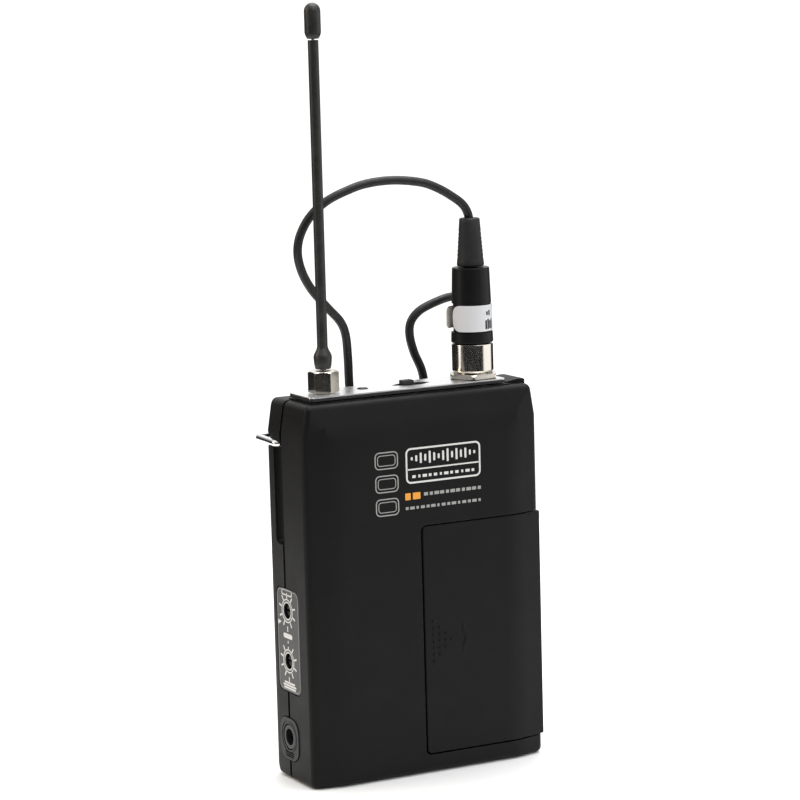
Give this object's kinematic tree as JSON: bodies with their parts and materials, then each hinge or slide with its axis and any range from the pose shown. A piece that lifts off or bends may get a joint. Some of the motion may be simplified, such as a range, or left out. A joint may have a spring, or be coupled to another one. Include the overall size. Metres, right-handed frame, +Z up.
{
  "type": "lavalier microphone",
  "caption": "Belt-pack transmitter with whip antenna, plugged microphone lead, sliding battery door, sprung wire belt clip and a small clip-on capsule at the end of a coiled cord.",
  "frame": {"origin": "centre of the transmitter case's bottom face, on the surface the pack stands on", "axes": "+Z up along the antenna; +Y towards the belt-clip side; -Y is the front with the battery door; +X is the side the door slides off to"},
  "size_m": [0.0777, 0.0606, 0.19],
  "materials": {
    "black_shell": "fine satin texture",
    "black_plastic": "matt",
    "satin_plate": "satin, fine brushed",
    "nickel": "bright nickel plate",
    "steel": "bright spring steel",
    "rubber": "matt moulded",
    "paper_label": "matt paper with a little sheen",
    "circuit_board": "solder-mask green",
    "cell_sleeve": "plain printed sleeve",
    "lens": "clear tinted"
  },
  "bodies": {
    "transmitter": {"front_shell": "black_shell", "rear_shell": "black_shell", "top_plate": "satin_plate", "battery_tray": "black_plastic", "battery_left": "cell_sleeve", "battery_right": "cell_sleeve", "contact_link": "nickel", "contact_positive": "nickel", "contact_negative": "nickel", "spring_lower": "nickel", "spring_upper": "nickel", "main_board": "circuit_board", "rf_shield": "steel", "antenna_base": "nickel", "antenna_nut": "nickel", "antenna_whip": "rubber", "antenna_core": "steel", "antenna_tip": "rubber", "switch_body": "black_plastic", "status_led": "lens", "socket_nut": "nickel", "socket_barrel": "nickel", "socket_insert": "black_plastic", "trimmer_body_upper": "black_plastic", "trimmer_body_lower": "black_plastic", "charge_jack": "black_plastic", "jack_surround": "rubber", "side_label": "black_plastic", "case_screw_1": "steel", "case_screw_2": "steel", "case_screw_3": "steel", "cord_lower": "rubber", "cord_coil": "rubber", "cord_rise": "rubber", "cord_tie": "black_plastic", "mic_strain_relief": "rubber", "mic_barrel": "black_plastic", "mic_capsule": "steel", "mic_grille": "black_plastic", "clip_jaw_fixed": "steel", "clip_pin": "steel", "clip_spring": "steel"},
    "battery_door": {"battery_door": "black_shell"},
    "power_knob": {"power_knob": "black_plastic"},
    "trimmer_rotor_upper": {"trimmer_rotor_upper": "black_plastic"},
    "trimmer_rotor_lower": {"trimmer_rotor_lower": "black_plastic"},
    "belt_clip": {"belt_clip": "steel"},
    "plug": {"plug_shell": "nickel", "plug_insert": "black_plastic", "plug_collar": "black_plastic", "plug_strain_relief": "rubber", "plug_label": "paper_label", "cord_upper": "rubber"},
    "plug_latch": {"plug_latch": "nickel"},
    "tie_clip_jaw": {"clip_jaw_moving": "steel"}
  },
  "joints": [
    {"name": "battery_door_slide", "type": "slide", "parent": "transmitter", "child": "battery_door", "axis": [1, 0, 0], "range_m": [0, 0.036]},
    {"name": "power_switch_slide", "type": "slide", "parent": "transmitter", "child": "power_knob", "axis": [1, 0, 0], "range_m": [0, 0.0024]},
    {"name": "upper_trimmer_turn", "type": "hinge", "parent": "transmitter", "child": "trimmer_rotor_upper", "pos_m": [-0.031, 0.0022, 0.0425], "axis": [1, 0, 0], "range_deg": [-135, 135]},
    {"name": "lower_trimmer_turn", "type": "hinge", "parent": "transmitter", "child": "trimmer_rotor_lower", "pos_m": [-0.031, 0.0022, 0.0299], "axis": [1, 0, 0], "range_deg": [-135, 135]},
    {"name": "belt_clip_spring", "type": "hinge", "parent": "transmitter", "child": "belt_clip", "pos_m": [0, 0.0056, 0.0836], "axis": [1, 0, 0], "range_deg": [0, 12], "stiffness_Nm_per_rad": 0.6, "springref_deg": -5.73},
    {"name": "plug_pull", "type": "slide", "parent": "transmitter", "child": "plug", "axis": [0, 0, 1], "range_m": [0, 0.012]},
    {"name": "plug_latch_press", "type": "slide", "parent": "plug", "child": "plug_latch", "axis": [0, -1, 0], "range_m": [0, 0.0006], "stiffness_N_per_m": 600},
    {"name": "tie_clip_squeeze", "type": "hinge", "parent": "transmitter", "child": "tie_clip_jaw", "pos_m": [0.0404, 0.038, 0.0048], "axis": [0, 0, 1], "range_deg": [0, 18], "stiffness_Nm_per_rad": 0.15, "springref_deg": -8.59}
  ]
}
